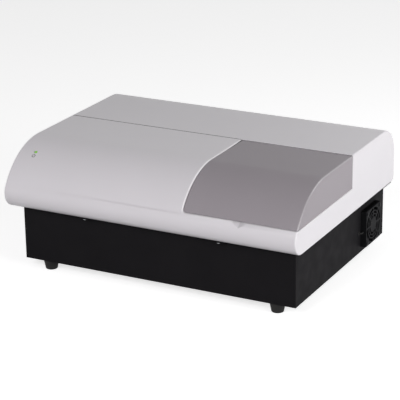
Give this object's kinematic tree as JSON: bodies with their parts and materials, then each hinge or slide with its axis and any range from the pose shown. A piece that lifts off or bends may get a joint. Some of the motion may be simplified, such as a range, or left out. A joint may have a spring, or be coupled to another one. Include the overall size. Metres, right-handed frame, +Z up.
{
  "type": "microplate reader",
  "caption": "Bench instrument with a curved light grey cover, a smoke grey hinged lid over the plate carriage, a black sheet metal base, a side fan and rubber feet.",
  "frame": {"origin": "on the bench surface under the middle of the cover", "axes": "+Z up, +X to the right along the front, +Y to the back"},
  "size_m": [0.505, 0.391, 0.203],
  "materials": {
    "cover_plastic": "satin moulded shell",
    "smoke_plastic": "smoke grey satin lid",
    "black_sheet": "black powder coat",
    "liner_black": "matte black liner",
    "steel": "plated steel",
    "magnet": "nickel plated magnet",
    "foot_rubber": "matte rubber",
    "fan_plastic": "black glass filled plastic",
    "black_plastic": "black moulded plastic",
    "wire_jacket": "grey and black wire jackets",
    "ribbon_grey": "grey ribbon cable",
    "led_green": "green status light",
    "circuit_green": "solder mask on glass fibre",
    "spacer_brass": "turned brass",
    "supply_steel": "plated sheet case",
    "fuse_glass": "glass fuses",
    "bearing_bronze": "sintered bronze",
    "cast_aluminium": "machined aluminium",
    "carriage_black": "black anodised",
    "lever_orange": "orange lever",
    "belt_rubber": "toothed rubber belt",
    "motor_body": "black motor case",
    "lens_glass": "optical glass",
    "filter_glass": "coated filter glass",
    "lamp_quartz": "quartz lamp on a ceramic base"
  },
  "bodies": {
    "base": {"cover_shell": "cover_plastic", "hinge_leaves": "steel", "base_tray": "black_sheet", "rear_panel": "black_sheet", "deck_plate": "black_sheet", "feet": "foot_rubber", "foot_screws": "steel", "machine_screws": "steel", "fan_frame": "fan_plastic", "fan_lead": "wire_jacket", "fan_grommet": "foot_rubber", "compartment_liner": "liner_black", "lid_sensor": "black_plastic", "power_led": "led_green", "led_board": "circuit_green", "signal_leads": "wire_jacket", "inlet_housing": "black_plastic", "inlet_pins": "steel", "switch_frame": "black_plastic", "usb_socket": "steel", "serial_socket": "steel", "main_board": "circuit_green", "board_parts": "black_plastic", "board_spacers": "spacer_brass", "power_supply": "supply_steel", "power_leads": "wire_jacket", "motor_leads": "wire_jacket", "detector_ribbon": "ribbon_grey", "guide_rods": "steel", "rod_supports": "cast_aluminium", "drive_belt": "belt_rubber", "drive_motor": "motor_body", "idler_axle": "steel", "home_sensor": "black_plastic", "optical_bridge": "cast_aluminium", "head_lenses": "lens_glass", "fibre_bundle": "wire_jacket", "detector_block": "liner_black", "detector_board": "circuit_green", "filter_motor": "motor_body", "filter_bracket": "cast_aluminium", "lamp_house": "cast_aluminium", "lamp_bulb": "lamp_quartz", "condenser_lens": "lens_glass"},
    "lid": {"lid_shell": "smoke_plastic", "lid_magnet": "magnet", "hinge_pins": "steel"},
    "carriage": {"carriage": "carriage_black", "carriage_bushes": "bearing_bronze", "lever_pin": "steel", "belt_grip": "cast_aluminium"},
    "lever": {"plate_lever": "lever_orange"},
    "drive_pulley": {"drive_pulley": "steel"},
    "idler_pulley": {"idler_pulley": "cast_aluminium"},
    "filter_wheel": {"filter_wheel": "carriage_black", "optical_filters": "filter_glass"},
    "fan_rotor": {"fan_rotor": "fan_plastic"},
    "fuse_drawer": {"fuse_drawer": "black_plastic", "fuses": "fuse_glass"},
    "switch_rocker": {"switch_rocker": "black_plastic"}
  },
  "joints": [
    {"name": "lid_hinge", "type": "hinge", "parent": "base", "child": "lid", "pos_m": [0.158, 0.0113, 0.1987], "axis": [-1, 0, 0], "range_deg": [0, 90]},
    {"name": "plate_slide", "type": "slide", "parent": "base", "child": "carriage", "axis": [-1, 0, 0], "range_m": [0, 0.2606]},
    {"name": "drive_spin", "type": "hinge", "parent": "base", "child": "drive_pulley", "pos_m": [-0.16638, -0.008, 0.117], "axis": [0, 0, -1], "range_deg": [0, 1868.6]},
    {"name": "idler_spin", "type": "hinge", "parent": "base", "child": "idler_pulley", "pos_m": [0.222, -0.008, 0.117], "axis": [0, 0, -1], "range_deg": [0, 1868.6]},
    {"name": "plate_lever", "type": "hinge", "parent": "carriage", "child": "lever", "pos_m": [0.2185, -0.10574, 0.134], "axis": [0, 0, -1], "range_deg": [0, 6], "stiffness_Nm_per_rad": 0.05, "springref_deg": -5.73},
    {"name": "filter_spin", "type": "hinge", "parent": "base", "child": "filter_wheel", "pos_m": [-0.165, 0.098, 0.152], "axis": [1, 0, 0], "continuous": true},
    {"name": "fan_spin", "type": "hinge", "parent": "base", "child": "fan_rotor", "pos_m": [0.2405, 0.114, 0.0565], "axis": [1, 0, 0], "continuous": true},
    {"name": "fuse_slide", "type": "slide", "parent": "base", "child": "fuse_drawer", "axis": [0, 1, 0], "range_m": [0, 0.014]},
    {"name": "switch_rock", "type": "hinge", "parent": "base", "child": "switch_rocker", "pos_m": [-0.143, 0.178, 0.0585], "axis": [-1, 0, 0], "range_deg": [0, 18]}
  ],
  "couplings": [
    {"joint": "drive_spin", "follows": "plate_slide", "rad_per_m": 125},
    {"joint": "idler_spin", "follows": "plate_slide", "rad_per_m": 125}
  ]
}
